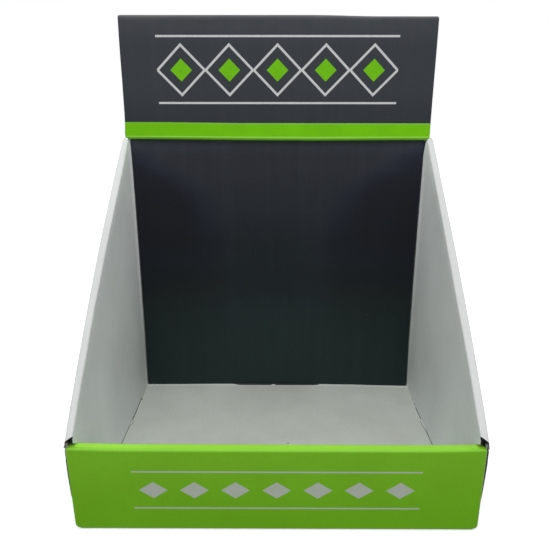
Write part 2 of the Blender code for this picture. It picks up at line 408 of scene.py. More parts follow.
# ------------------------------------------------------------------ materials
class Nodes:
    """Short names for building a node tree."""

    def __init__(self, name):
        self.mat = bpy.data.materials.new(name)
        self.mat.use_nodes = True
        self.tree = self.mat.node_tree
        self.bsdf = self.tree.nodes["Principled BSDF"]
        self.co = self.tree.nodes.new("ShaderNodeTexCoord").outputs["Object"]
        split = self.add("ShaderNodeSeparateXYZ")
        self.link(self.co, split.inputs[0])
        self.xyz = split.outputs

    def add(self, kind, **values):
        node = self.tree.nodes.new(kind)
        for k, v in values.items():
            setattr(node, k, v)
        return node

    def link(self, out, into):
        self.tree.links.new(out, into)

    def put(self, value, socket):
        if hasattr(value, "is_output"):
            self.link(value, socket)
        else:
            socket.default_value = value

    def math(self, op, a, b=0.0, c=0.0, clamp=False):
        node = self.add("ShaderNodeMath", operation=op, use_clamp=clamp)
        for v, s in zip((a, b, c), node.inputs):
            self.put(v, s)
        return node.outputs[0]

    def noise(self, scale, detail=3.0, rough=0.55, stretch=None, distortion=0.0):
        co = self.co
        if stretch:
            m = self.add("ShaderNodeMapping")
            self.link(co, m.inputs["Vector"])
            m.inputs["Scale"].default_value = stretch
            co = m.outputs[0]
        node = self.add("ShaderNodeTexNoise")
        self.link(co, node.inputs["Vector"])
        node.inputs["Scale"].default_value = scale
        node.inputs["Detail"].default_value = detail
        node.inputs["Roughness"].default_value = rough
        node.inputs["Distortion"].default_value = distortion
        return node.outputs["Fac"]

    def ramp(self, fac, lo, hi, a=0.0, b=1.0):
        node = self.add("ShaderNodeMapRange", interpolation_type="SMOOTHSTEP")
        self.put(fac, node.inputs["Value"])
        for s, v in (("From Min", lo), ("From Max", hi), ("To Min", a), ("To Max", b)):
            node.inputs[s].default_value = v
        return node.outputs["Result"]

    def curve(self, value, stops):
        """Straight lines through (place in mm, value) for a coordinate."""
        first, last = stops[0][0], stops[-1][0]
        low = min(v for _, v in stops)
        span = max(v for _, v in stops) - low
        node = self.add("ShaderNodeValToRGB")
        marks = node.color_ramp.elements
        marks[0].position, marks[1].position = 0.0, 1.0
        for at, _ in stops[1:-1]:
            marks.new((at - first) / (last - first))
        for mark, (_, v) in zip(marks, stops):
            g = (v - low) / span
            mark.color = (g, g, g, 1.0)
        self.link(self.math("DIVIDE", self.math("SUBTRACT", value, first * MM), (last - first) * MM), node.inputs["Fac"])
        return self.math("MULTIPLY_ADD", node.outputs["Color"], span, low)

    def mix(self, fac, a, b, mode="MIX"):
        node = self.add("ShaderNodeMix", data_type="RGBA", blend_type=mode)
        self.put(fac, node.inputs["Factor"])
        for v, s in ((a, node.inputs[6]), (b, node.inputs[7])):
            if hasattr(v, "is_output"):
                self.link(v, s)
            else:
                s.default_value = (*v, 1.0)
        return node.outputs[2]

    def bump(self, height, strength, distance):
        node = self.add("ShaderNodeBump")
        node.inputs["Strength"].default_value = strength
        node.inputs["Distance"].default_value = distance
        self.link(height, node.inputs["Height"])
        self.link(node.outputs[0], self.bsdf.inputs["Normal"])


def srgb(r, g, b):
    def one(c):
        c /= 255.0
        return c / 12.92 if c <= 0.04045 else ((c + 0.055) / 1.055) ** 2.4
    return (one(r), one(g), one(b))


def printed(name, colour, rough, rib_axis, rib=0.35, specks=0.0, fleck=(0.5, 0.52, 0.5), tint=0.03,
            streak=0.0, wear=(), gloss=0.45, bare=(0.62, 0.63, 0.58), lift=()):
    """Printed and varnished liner: ink mottle, faint ribs of the flutes, fibre grain, fine dust,
    and ink rubbed off along creases and cut edges (wear: axis, absolute?, place, width, amount).
    lift multiplies the colour over a range of heights, as painted light and shade."""
    m = Nodes(name)
    mottle = m.noise(30.0, 3.0, 0.5)
    grain = m.noise(260.0, 3.0, 0.6)
    fine = m.noise(1100.0, 3.0, 0.6)
    dark = tuple(c * (1 - tint) for c in colour)
    light = tuple(c * (1 + tint) for c in colour)
    base = m.mix(m.ramp(mottle, 0.3, 0.7), dark, light)
    base = m.mix(m.ramp(grain, 0.35, 0.7, 0.0, 0.5), base, tuple(c * (1 - 1.6 * tint) for c in colour))
    base = m.mix(m.ramp(fine, 0.35, 0.75, 0.0, 0.10), base, tuple(min(1, c * 1.25 + 0.004) for c in colour))
    wave = m.math("SINE", m.math("MULTIPLY", m.xyz[rib_axis], 2 * math.pi / (FLUTE * MM)))
    rib_break = m.ramp(m.noise(22.0, 2.0), 0.3, 0.75, 0.35, 1.0)
    ribs = m.math("MULTIPLY", wave, rib_break)
    base = m.mix(m.ramp(ribs, -1.0, 1.0, 0.0, rib), base, tuple(c * (1 + 1.5 * tint) for c in colour))
    if streak > 0:
        long = [160.0, 160.0, 160.0]
        long[1 if rib_axis == 2 else 2] = 6.0
        base = m.mix(m.ramp(m.noise(1.0, 3.0, 0.6, stretch=tuple(long)), 0.42, 0.68, 0.0, streak), base,
                     tuple(c * 1.9 + 0.002 for c in colour))
    # lift: painted light and shade, a colour gain over a range of heights
    for z0, z1, gain in lift:
        base = m.mix(1.0, base, m.mix(m.ramp(m.xyz[2], z0 * MM, z1 * MM), (1.0, 1.0, 1.0), gain), "MULTIPLY")
    if specks > 0:
        dust = m.ramp(m.noise(650.0, 2.0, 0.4), 0.70, 0.75, 0.0, specks)
        base = m.mix(dust, base, fleck)
        scuff = m.ramp(m.noise(90.0, 4.0, 0.7, stretch=(1.0, 1.0, 3.0), distortion=0.6), 0.66, 0.74, 0.0, specks * 0.5)
        base = m.mix(scuff, base, fleck)
    for axis, both, place, width, amount in wear:
        c = m.math("ABSOLUTE", m.xyz[axis]) if both else m.xyz[axis]
        near = m.ramp(m.math("ABSOLUTE", m.math("SUBTRACT", c, place * MM)), 0.0, width * MM, 1.0, 0.0)
        torn = m.math("MULTIPLY", near, m.ramp(m.noise(340.0, 4.0, 0.7), 0.40, 0.66, 0.25, 1.0))
        base = m.mix(m.math("MULTIPLY", torn, amount, clamp=True), base, bare)
    m.link(base, m.bsdf.inputs["Base Color"])
    sheen = m.math("ADD", m.ramp(mottle, 0.25, 0.75, rough - 0.04, rough + 0.05), m.ramp(fine, 0.3, 0.7, -0.03, 0.04))
    m.link(sheen, m.bsdf.inputs["Roughness"])
    m.bsdf.inputs["Specular IOR Level"].default_value = gloss
    height = m.math("ADD", m.math("MULTIPLY", ribs, rib), m.math("ADD", m.math("MULTIPLY", fine, 0.45), m.math("MULTIPLY", grain, 0.5)))
    m.bump(height, 0.35, 0.00012)
    return m


def paper(name, colour, rib_axis, rib=0.3, flecks=0.25, dark=0.06):
    """Unprinted liner: soft clouding, fibres, small grey flecks, faint ribs."""
    m = Nodes(name)
    cloud = m.noise(26.0, 4.0, 0.6)
    fibre = m.noise(520.0, 4.0, 0.65, stretch=(1.0, 0.35, 1.0) if rib_axis != 1 else (0.35, 1.0, 1.0))
    base = m.mix(m.ramp(cloud, 0.3, 0.7), tuple(c * (1 - dark) for c in colour), tuple(min(1, c * (1 + dark * 0.5)) for c in colour))
    base = m.mix(m.ramp(fibre, 0.45, 0.8, 0.0, 0.18), base, tuple(c * 0.82 for c in colour))
    spot = m.ramp(m.noise(300.0, 2.0, 0.45), 0.70, 0.76, 0.0, flecks)
    base = m.mix(spot, base, tuple(c * 0.62 for c in colour))
    wave = m.math("SINE", m.math("MULTIPLY", m.xyz[rib_axis], 2 * math.pi / (FLUTE * MM)))
    base = m.mix(m.ramp(wave, -1, 1, 0.0, 0.05), base, tuple(c * 0.9 for c in colour))
    m.link(base, m.bsdf.inputs["Base Color"])
    m.link(m.ramp(fibre, 0.3, 0.7, 0.62, 0.80), m.bsdf.inputs["Roughness"])
    m.bsdf.inputs["Specular IOR Level"].default_value = 0.35
    height = m.math("ADD", m.math("MULTIPLY", wave, rib), m.math("MULTIPLY", fibre, 0.6))
    m.bump(height, 0.30, 0.00012)
    return m


GREEN = (0.240, 0.625, 0.020)
# the top roll's green: the front's green ink made brighter, as painted light
GREEN_TOP_LIT = (0.300, 0.700, 0.040)
# the header band's green: the front's green ink made brighter, as painted light
GREEN_HEADER_LIT = (0.230, 0.748, 0.002)
BLACK = (0.040, 0.045, 0.054)
# the header's black: the black print made lighter, as painted light
BLACK_HEAD_LIT = (0.056, 0.063, 0.076)
# the back lining's black: the black print made darker, as painted shade
BLACK_SHADED = (0.0054, 0.0083, 0.0128)
WHITE = (0.70, 0.72, 0.715)
WHITE_IN = (0.76, 0.78, 0.790)
REVERSE = (0.58, 0.61, 0.565)
RAW = srgb(188, 180, 166)

# the lower fold and ledge: the header band's green made a little darker as painted shade, with a pale painted highlight
# along the fold's front
green_low_painted_shading = printed("green_print_ledge_painted_shading", (0.225, 0.690, 0.010), 0.46, 0, rib=0.12, gloss=0.35, wear=((1, False, 79.9, 0.5, 0.10),)).mat
black = printed("black_print", BLACK, 0.46, 0, specks=0.06, streak=0.10).mat
# the front corner posts: the black print made about four times darker, as painted shade
black_post_shaded = printed("black_print_corner_shaded", (0.010, 0.011, 0.012), 0.5, 2, specks=0.04, streak=0.05, gloss=0.22).mat
black_side = printed("black_print_side", BLACK, 0.46, 2, specks=0.06, streak=0.10).mat
reverse = paper("reverse_liner", REVERSE, 0).mat
pale = paper("torn_liner", (0.84, 0.85, 0.84), 0, rib=0.0, flecks=0.2, dark=0.05).mat
raw = paper("cut_board_edge", RAW, 0, rib=0.0, flecks=0.5, dark=0.12).mat
# near-black cut edges for the floor and its slot ends: painted shade of the gaps between floor, walls and slots
raw_painted_shade = paper("board_edge_painted_shade", (0.030, 0.030, 0.029), 0, rib=0.0, flecks=0.5, dark=0.2).mat


def side_reverse_painted_shade():
    """Reverse of the side walls' layers where they are rolled at the front: darkened over the front 14 to 24 mm, all
    but a strip along the front edge below 58 mm, by painted shade of the hollow between the layers.
    """
    m = paper("reverse_liner_side_painted_shade", REVERSE, 2)
    base = m.bsdf.inputs["Base Color"].links[0].from_socket
    y = m.math("ADD", m.xyz[1], MID * MM)
    # painted shade of the hollow between the wall's two layers
    ink = m.math("MAXIMUM", m.ramp(y, 1.1 * MM, 2.4 * MM), m.ramp(m.xyz[2], 58.2 * MM, 59.2 * MM))
    ink = m.math("MULTIPLY", ink, m.ramp(y, 24.0 * MM, 14.0 * MM, 0.0, 0.95))
    m.link(m.mix(ink, base, (0.012, 0.012, 0.012)), m.bsdf.inputs["Base Color"])
    return m.mat


def lip_edge_painted_shade():
    """Grey cut edge of the side walls' outer layer, darkened above and below its front lip near the front end by
    painted shade.
    """
    m = paper("grey_board_edge_painted_shade", (0.42, 0.42, 0.41), 0, rib=0.0, flecks=0.5, dark=0.15)
    base = m.bsdf.inputs["Base Color"].links[0].from_socket
    z = m.xyz[2]
    # painted shade above and below the front lip
    ink = m.math("MAXIMUM", m.ramp(z, 58.3 * MM, 59.2 * MM), m.ramp(z, 56.4 * MM, 55.6 * MM))
    ink = m.math("MULTIPLY", ink, m.ramp(m.math("ADD", m.xyz[1], MID * MM), 4.0 * MM, 2.5 * MM, 0.0, 0.92))
    m.link(m.mix(ink, base, (0.018, 0.018, 0.018)), m.bsdf.inputs["Base Color"])
    return m.mat


def roll_liner_painted_light():
    """White roll on the side walls, brighter towards the back and more so on the left: painted light."""
    m = paper("white_liner_roll_painted_light", WHITE, 2, flecks=0.12, dark=0.04)
    base = m.bsdf.inputs["Base Color"].links[0].from_socket
    # painted light: brighter towards the back, more on the left
    left = m.math("LESS_THAN", m.xyz[0], 0.0)
    gain = m.math("MULTIPLY_ADD", left, m.ramp(m.xyz[1], (95.0 - MID) * MM, (150.0 - MID) * MM, 0.0, 0.11),
                  m.ramp(m.xyz[1], (105.0 - MID) * MM, (168.0 - MID) * MM, 1.0, 1.06))
    m.link(m.mix(1.0, base, gain, "MULTIPLY"), m.bsdf.inputs["Base Color"])
    return m.mat


def lozenges(m, centre, pitch, high, reach):
    """Row of lozenges that touch, as (distance from the nearest one's outline, reach mask)."""
    u = m.math("PINGPONG", m.xyz[0], pitch * 0.5 * MM)
    v = m.math("ABSOLUTE", m.math("SUBTRACT", m.xyz[2], centre * MM))
    shape = m.math("ADD", m.math("DIVIDE", u, pitch * 0.5 * MM), m.math("DIVIDE", v, high * MM))
    inside = m.ramp(m.math("ABSOLUTE", m.xyz[0]), (reach + 0.1) * MM, (reach - 0.1) * MM)
    return shape, v, inside


def front_print():
    """Green front with a row of plain pale lozenges between two thin lines, darkened towards its foot by painted shade.
    """
    # lift: painted shade, darkening the green towards the foot
    m = printed("green_print_front", GREEN, 0.46, 0, rib=0.12, gloss=0.40,
                wear=((0, False, -120.3, 0.45, 0.7), (0, False, 119.45, 0.55, 0.8), (2, False, 54.0, 0.5, 0.05)),
                lift=((54.0, 4.0, (0.80, 0.88, 0.40)),))
    base = m.bsdf.inputs["Base Color"].links[0].from_socket
    shape, v, inside = lozenges(m, 27.5, 24.0, 8.0, 84.0)
    ink = m.math("ADD", m.ramp(shape, 0.72, 0.68), m.ramp(m.math("ABSOLUTE", m.math("SUBTRACT", v, 12.5 * MM)), 0.60 * MM, 0.40 * MM), clamp=True)
    ink = m.math("MULTIPLY", m.math("MULTIPLY", ink, inside), m.ramp(m.noise(300.0, 4.0, 0.65), 0.25, 0.6, 0.84, 0.97))
    m.link(m.mix(ink, base, (0.60, 0.64, 0.58)), m.bsdf.inputs["Base Color"])
    return m.mat


def roll_print_painted_light():
    """Green top roll, paler at its two ends and a little towards the left. Its colour is the front's green ink made
    brighter where the roll faces up, and its paler ends are painted light against the shade under the side walls.
    """
    m = printed("green_print_roll_painted_light", GREEN_TOP_LIT, 0.46, 0, rib=0.12, gloss=0.5,
                wear=((1, False, -90.4, 0.7, 0.10), (1, False, -84.7, 0.6, 0.08), (0, True, 119.2, 1.4, 0.25)))
    base = m.bsdf.inputs["Base Color"].links[0].from_socket
    # ends: painted light, brightening the roll's two ends against the shade under the side walls
    ends = m.curve(m.math("ABSOLUTE", m.xyz[0]), ((0.0, 1.0), (111.0, 1.0), (114.0, 1.15), (117.0, 1.2), (121.0, 1.2)))
    brighter_left = m.curve(m.xyz[0], ((-116.0, 1.10), (-75.0, 1.04), (-40.0, 1.0), (40.0, 0.99), (85.0, 0.96), (116.0, 0.96)))
    m.link(m.mix(1.0, base, m.math("MULTIPLY", ends, brighter_left), "MULTIPLY"), m.bsdf.inputs["Base Color"])
    return m.mat


def side_edge_painted_shade():
    """Cut edges of the side walls' white layers: near black in front by painted shade, their own pale colour at the
    back.
    """
    # the near-black base colour is painted shade
    m = paper("side_board_edge_painted_shade", (0.030, 0.030, 0.029), 0, rib=0.0, flecks=0.5, dark=0.2)
    base = m.bsdf.inputs["Base Color"].links[0].from_socket
    lighter_tone = m.mix(m.ramp(m.noise(420.0, 3.0), 0.3, 0.7), (0.66, 0.67, 0.65), (0.80, 0.81, 0.80))
    back = m.ramp(m.xyz[1], (152.0 - MID) * MM, (164.0 - MID) * MM)
    m.link(m.mix(back, base, lighter_tone), m.bsdf.inputs["Base Color"])
    return m.mat


def back_liner_painted_shading():
    """Black back lining, the black ink made darker as painted shade, with painted light over it: a paler zone in the
    middle that widens towards the top, a lift just under the ledge, a painted reflection that lightens it towards the
    top and cools its sides, and a greenish painted reflection low down.
    """
    # lift: a greenish painted reflection low down and painted light towards the top
    m = printed("black_print_inside_painted_shading", BLACK_SHADED, 0.5, 0, specks=0.03, streak=0.12, gloss=0.35,
                lift=((105.0, 35.0, (1.15, 2.0, 1.40)), (125.0, 208.0, (4.4, 3.3, 3.0))))
    base = m.bsdf.inputs["Base Color"].links[0].from_socket
    z = m.xyz[2]
    far = m.math("ABSOLUTE", m.math("ADD", m.xyz[0], 0.003))
    # zone, mid and rim: painted light, paler in the middle, towards the top and just under the ledge
    zone = m.curve(z, ((60.0, 0.045), (118.0, 0.050), (135.0, 0.050), (160.0, 0.056), (172.0, 0.062), (184.0, 0.076), (192.0, 0.090), (200.0, 0.102), (207.0, 0.113), (213.0, 0.126)))
    outside = m.ramp(m.math("SUBTRACT", far, zone), -0.020, 0.020)
    mid = m.curve(z, ((40.0, 1.1), (54.0, 1.2), (70.0, 1.4), (86.0, 1.35), (102.0, 1.25), (118.0, 1.55), (147.0, 1.53), (160.0, 1.39),
                      (172.0, 1.17), (184.0, 1.09), (200.0, 1.06), (204.0, 1.12), (209.0, 1.6), (213.0, 2.0)))
    rim = m.curve(z, ((40.0, 1.0), (70.0, 1.0), (86.0, 0.86), (102.0, 0.62), (118.0, 0.62), (135.0, 0.45), (147.0, 0.43), (160.0, 0.33),
                      (172.0, 0.30), (184.0, 0.33), (195.0, 0.40), (204.0, 0.5), (209.0, 0.95), (213.0, 1.7)))
    gain = m.math("ADD", m.math("MULTIPLY", outside, rim), m.math("MULTIPLY", m.math("SUBTRACT", 1.0, outside), mid))
    base = m.mix(1.0, base, gain, "MULTIPLY")
    # cool: a bluish painted reflection on the sides higher up
    cool = m.math("MULTIPLY", outside, m.ramp(z, 88.0 * MM, 120.0 * MM))
    base = m.mix(1.0, base, m.mix(cool, (1.0, 1.0, 1.0), (1.0, 1.12, 1.65)), "MULTIPLY")
    m.link(base, m.bsdf.inputs["Base Color"])
    return m.mat


def side_liner_painted_shading():
    """White lining of the side walls, with painted light and shade in zones along its height and length: lighter
    towards the top of the back corner and along its top edge, darker low down in the middle, a paler rear margin, and
    painted shade where its tab stands in the floor slot."""
    m = paper("white_liner_side_painted_shading", WHITE_IN, 2, flecks=0.12, dark=0.04)
    base = m.bsdf.inputs["Base Color"].links[0].from_socket
    y, z = m.math("ADD", m.xyz[1], MID * MM), m.xyz[2]
    # painted light and shade: the gains below follow the light on the lining
    back = m.ramp(y, 105.0 * MM, 168.0 * MM)
    gain = m.ramp(z, 35.0 * MM, 140.0 * MM, -0.21, 0.27)
    base = m.mix(1.0, base, m.math("MULTIPLY_ADD", back, gain, 1.0), "MULTIPLY")
    tone = m.curve(z, ((0.0, 0.34), (18.0, 0.15), (30.0, 0.08), (45.0, 0.13), (60.0, 0.10), (86.0, -0.10), (110.0, -0.17),
                       (135.0, -0.15), (163.0, -0.04), (207.0, 0.15)))
    base = m.mix(1.0, base, m.math("MULTIPLY_ADD", m.ramp(y, 115.0 * MM, 158.0 * MM), tone, 1.0), "MULTIPLY")
    low = m.math("MULTIPLY", m.ramp(z, 95.0 * MM, 45.0 * MM), m.ramp(y, 50.0 * MM, 95.0 * MM))
    base = m.mix(1.0, base, m.math("MULTIPLY_ADD", low, -0.15, 1.0), "MULTIPLY")
    foot = m.curve(z, ((0.0, 0.22), (18.0, 0.10), (45.0, 0.02), (80.0, -0.04), (120.0, 0.0)))
    foot = m.math("MULTIPLY", foot, m.ramp(y, 152.0 * MM, 118.0 * MM))
    right = m.math("MULTIPLY", m.ramp(m.xyz[0], -10.0 * MM, 10.0 * MM, 0.0, 0.10), m.math("MULTIPLY", m.ramp(z, 90.0 * MM, 40.0 * MM), m.ramp(y, 115.0 * MM, 145.0 * MM)))
    base = m.mix(1.0, base, m.math("ADD", m.math("ADD", foot, right), 1.0), "MULTIPLY")
    depth = m.math("SUBTRACT", m.math("MULTIPLY_ADD", y, math.tan(SLOPE), (SZ0 - SY0 * math.tan(SLOPE)) * MM), z)
    upper = m.math("MULTIPLY", m.ramp(depth, 11.0 * MM, 2.5 * MM), m.ramp(y, 50.0 * MM, 110.0 * MM, 0.04, 0.13))
    base = m.mix(1.0, base, m.math("ADD", upper, 1.0), "MULTIPLY")
    margin = m.math("MULTIPLY", m.ramp(y, 164.5 * MM, 172.0 * MM), m.ramp(z, 40.0 * MM, 110.0 * MM, 0.5, 1.0))
    base = m.mix(1.0, base, m.math("MULTIPLY_ADD", margin, 0.30, 1.0), "MULTIPLY")
    # painted shade where the tab stands in the floor slot
    slot = m.ramp(m.xyz[2], 1.5 * MM, 1.75 * MM, 0.95, 0.0)
    m.link(m.mix(slot, base, (0.012, 0.012, 0.012)), m.bsdf.inputs["Base Color"])
    return m.mat


def floor_liner_painted_shading():
    """Grey-white floor: a pale line along the rear edge, a faint dark line in front of the tab slot, a dark speck,
    painted shade in dark lines along the side walls and at the slots, and painted light that makes it brighter towards
    the rear corners and the sides and uneven across the rear."""
    m = paper("floor_liner_painted_shading", REVERSE, 0)
    base = m.bsdf.inputs["Base Color"].links[0].from_socket
    x = m.xyz[0]
    y = m.math("ADD", m.xyz[1], MID * MM)

    def window(v, lo, hi, soft):
        rise = m.ramp(v, (lo - soft) * MM, (lo + soft) * MM)
        fall = m.ramp(v, (hi - soft) * MM, (hi + soft) * MM, 1.0, 0.0)
        return m.math("MULTIPLY", rise, fall)

    ragged = m.ramp(m.noise(420.0, 3.0, 0.6), 0.3, 0.7, 0.55, 1.0)
    foot = m.math("ADD", y, m.curve(x, tuple((q, v * MM) for q, v in FOOT_BOW)))
    rear = m.math("MULTIPLY", window(foot, 172.6, 190.0, 0.6), m.math("MULTIPLY", ragged, 0.55))
    base = m.mix(rear, base, (0.86, 0.87, 0.85))
    crease = m.math("MULTIPLY", window(y, 163.2, 164.4, 0.5), window(x, -26.0, 26.0, 4.0))
    base = m.mix(m.math("MULTIPLY", crease, 0.14), base, (0.20, 0.21, 0.20))
    speck = m.math("MULTIPLY", window(y, 84.7, 85.8, 0.15), window(x, 7.7, 9.1, 0.15))
    base = m.mix(m.math("MULTIPLY", speck, 0.85), base, (0.05, 0.055, 0.05))
    lean = m.math("MULTIPLY_ADD", y, 0.0645, x)        # a line that leans like the right slot's end
    wall = m.math("ADD", x, m.ramp(y, 128.0 * MM, 174.0 * MM, 0.0, REAR_FOOT[-1] * MM))
    # painted shade: dark lines where the floor meets the side walls and at the slots
    for v, x0, x1, y0, y1, amount in ((x, -130.0, -114.82, 4.0, 117.0, 0.80), (wall, -130.0, -114.95, 149.0, 171.0, 0.50),
                                      (x, -113.86, -113.56, 110.0, 115.8, 0.55), (x, 114.72, 130.0, 4.0, 104.0, 0.80),
                                      (x, 114.78, 130.0, 118.2, 136.0, 0.70), (lean, 120.95, 121.25, 104.6, 117.0, 0.50)):
        gap_shade = m.math("MULTIPLY", window(v, x0, x1, 0.10), window(y, y0, y1, 0.8))
        base = m.mix(m.math("MULTIPLY", gap_shade, amount), base, (0.015, 0.016, 0.015))
    # painted light: brighter towards the rear corners and the sides, uneven across the rear
    corner = m.math("MULTIPLY", m.ramp(m.math("ABSOLUTE", x), 55.0 * MM, 113.0 * MM), m.ramp(y, 100.0 * MM, 172.0 * MM))
    base = m.mix(1.0, base, m.math("MULTIPLY_ADD", corner, 0.14, 1.0), "MULTIPLY")
    patchy = m.curve(x, ((-118.0, -0.12), (-100.0, -0.10), (-75.0, 0.02), (-50.0, 0.08), (-30.0, 0.02), (0.0, -0.07), (20.0, -0.05),
                         (45.0, 0.08), (70.0, 0.05), (85.0, -0.03), (118.0, -0.06)))
    base = m.mix(1.0, base, m.math("MULTIPLY_ADD", m.ramp(y, 120.0 * MM, 150.0 * MM), patchy, 1.0), "MULTIPLY")
    lighter_tone = m.curve(x, ((-118.0, 1.16), (-85.0, 1.08), (-55.0, 1.03), (-30.0, 0.98), (0.0, 1.0), (60.0, 1.02), (85.0, 1.10), (100.0, 1.16), (118.0, 1.20)))
    base = m.mix(1.0, base, lighter_tone, "MULTIPLY")
    m.link(base, m.bsdf.inputs["Base Color"])
    return m.mat


def header_print_painted_shading():
    """Black with a row of plain white and green lozenges over a green band. Both inks are given brighter than the same
    inks elsewhere, as painted light; the black is darkened towards the band by painted shade and is paler towards the
    top fold, partly rubbed ink and partly painted light. The band has a pale line where the two inks meet and a painted
    highlight along its lower fold."""
    # lift: painted shade, darkening the black towards the band
    m = printed("header_print_painted_shading", BLACK_HEAD_LIT, 0.46, 0, specks=0.05, streak=0.08, gloss=0.22,
                lift=((258.0, 229.0, (0.79, 0.81, 0.82)),))
    base = m.bsdf.inputs["Base Color"].links[0].from_socket
    # paler towards the top fold: rubbed ink close to the fold, painted light over the wider fade
    rub_and_light = m.math("ADD", m.ramp(m.xyz[2], 299.5 * MM, 303.2 * MM, 0.0, 0.075), m.ramp(m.xyz[2], 280.0 * MM, 301.0 * MM, 0.0, 0.026))
    rub_and_light = m.math("MULTIPLY", rub_and_light, m.ramp(m.noise(120.0, 4.0, 0.65, stretch=(0.35, 1.0, 1.0)), 0.3, 0.7, 0.75, 1.2))
    base = m.mix(rub_and_light, base, (0.80, 0.80, 0.83))
    shape, v, inside = lozenges(m, 266.0, 36.0, 18.0, 90.0)
    cover = m.math("MULTIPLY", inside, m.ramp(m.noise(300.0, 4.0, 0.65), 0.25, 0.6, 0.86, 0.98))
    ink = m.math("ADD", m.ramp(m.math("ABSOLUTE", m.math("SUBTRACT", shape, 0.98)), 0.075, 0.060),
                 m.ramp(m.math("ABSOLUTE", m.math("SUBTRACT", v, 23.5 * MM)), 0.85 * MM, 0.65 * MM), clamp=True)
    base = m.mix(m.math("MULTIPLY", ink, cover), base, (0.86, 0.87, 0.88))
    base = m.mix(m.math("MULTIPLY", m.ramp(shape, 0.46, 0.44), cover), base, GREEN_HEADER_LIT)
    x, z = m.xyz[0], m.xyz[2]
    edge = m.math("ADD", z, m.ramp(m.noise(700.0, 2.0), 0.3, 0.7, -0.00006, 0.00006))
    edge = m.math("ADD", edge, m.curve(x, ((-117.0, 0.0), (-85.0, 0.0001), (-30.0, 0.0007), (117.0, 0.0008))))
    band = m.ramp(edge, (BAND_TOP + 0.10) * MM, (BAND_TOP - 0.10) * MM)
    tone = m.mix(m.ramp(m.noise(40.0, 3.0), 0.3, 0.7), tuple(c * 0.95 for c in GREEN_HEADER_LIT), tuple(c * 1.04 for c in GREEN_HEADER_LIT))
    tone = m.mix(m.ramp(x, -85.0 * MM, -105.0 * MM, 0.0, 1.0), tone, tuple(c * 0.94 for c in GREEN_HEADER_LIT))
    seam = m.math("MULTIPLY", m.ramp(edge, (BAND_TOP - 1.5) * MM, (BAND_TOP - 0.4) * MM), m.ramp(x, -100.0 * MM, -30.0 * MM, 0.12, 0.30))
    tone = m.mix(seam, tone, (0.46, 0.78, 0.30))
    # painted highlight along the band's lower fold
    fold_z = m.math("SUBTRACT", z, m.curve(x, tuple((q, v * 0.6 * MM) for q, v in HEAD_SAG)))
    fold_highlight = m.ramp(m.math("ABSOLUTE", m.math("SUBTRACT", fold_z, (HEADER_LOW + R_LEDGE + 0.25) * MM)), 0.30 * MM, 0.75 * MM, 1.0, 0.0)
    fold_highlight = m.math("MULTIPLY", fold_highlight, m.ramp(m.noise(60.0, 3.0, 0.6, stretch=(0.5, 1.0, 1.0)), 0.3, 0.7, 0.8, 1.0))
    tone = m.mix(fold_highlight, tone, (0.44, 1.0, 0.11))
    rim = m.ramp(m.math("ABSOLUTE", x), 116.6 * MM, 117.3 * MM, 0.0, 0.35)
    tone = m.mix(rim, tone, (0.20, 0.26, 0.08))
    m.link(m.mix(band, base, tone), m.bsdf.inputs["Base Color"])
    return m.mat


green = front_print()
green_top_painted_light = roll_print_painted_light()
white = roll_liner_painted_light()
raw_side_painted_shade = side_edge_painted_shade()
raw_grey_painted_shade = lip_edge_painted_shade()
reverse_side_painted_shade = side_reverse_painted_shade()
black_in_painted_shading = back_liner_painted_shading()
white_in_painted_shading = side_liner_painted_shading()
floor_face = floor_liner_painted_shading()
header = header_print_painted_shading()

PRINT_G = [green, reverse, raw]
PRINT_T = [green_top_painted_light, reverse, raw]
PRINT_B = [black, reverse, raw]
PRINT_H = [header, reverse, raw]
PRINT_I = [black_in_painted_shading, reverse, raw]
PRINT_L = [green_low_painted_shading, reverse, raw]

# ------------------------------------------------------------------ floor of the tray
R_FOOT = 0.7
bx = HALF - T - 0.1
edge_y0, edge_y1 = R_FOOT, DEPTH - R_FOOT
SLOT = {-1: [(115.2, 108.0), (115.2, 116.2), (114.35, 117.0), (114.35, 148.6), (115.2, 149.6), (115.2, 150.0)],
        1: [(115.2, 108.0), (115.2, 117.6), (114.7, 118.2), (114.8, 135.0), (115.2, 136.0), (115.2, 150.0)]}
edge_r = [(bx, edge_y0 + 0.4), (bx, 108.0)] + SLOT[1] + [(bx, 150.0), (bx, edge_y1 - 0.4)]
edge_l = [(-bx, edge_y0 + 0.4), (-bx, 108.0)] + [(-a, b) for a, b in SLOT[-1]] + [(-bx, 150.0), (-bx, edge_y1 - 0.4)]
tab_slot = [(-37.9, 177.5), (-37.9, 175.3), (-35.6, 174.5), (-33.6, 173.8), (-5.2, 173.7), (-4.4, 175.2), (-1.8, 175.2), (-1.0, 173.7),
            (35.0, 173.8), (36.8, 174.6), (37.9, 175.3), (37.9, 177.5)]
board("base_floor", "base", ["base_panel"], Vector((0, 0, T / 2)), X, Y,
      edge_r + list(reversed(edge_l)), [floor_face, white, raw_painted_shade],
      holes=[rect(-30.4, 30.4, FRONT_ROLL - T - 0.4, FRONT_ROLL + 0.4), tab_slot])


def chip(name, body, outline, z0, z1, mats):
    """Small flat scrap of liner, such as the cut end of a slot that stands up."""
    count = len(outline)
    verts = [(x, y, z0) for x, y in outline] + [(x, y, z1) for x, y in outline]
    faces = [list(range(count - 1, -1, -1)), list(range(count, 2 * count))]
    faces += [[i, (i + 1) % count, count + (i + 1) % count, count + i] for i in range(count)]
    obj = finish_mesh(name, verts, faces, mats, [0, 0] + [1] * count)
    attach(obj, body)
    return obj


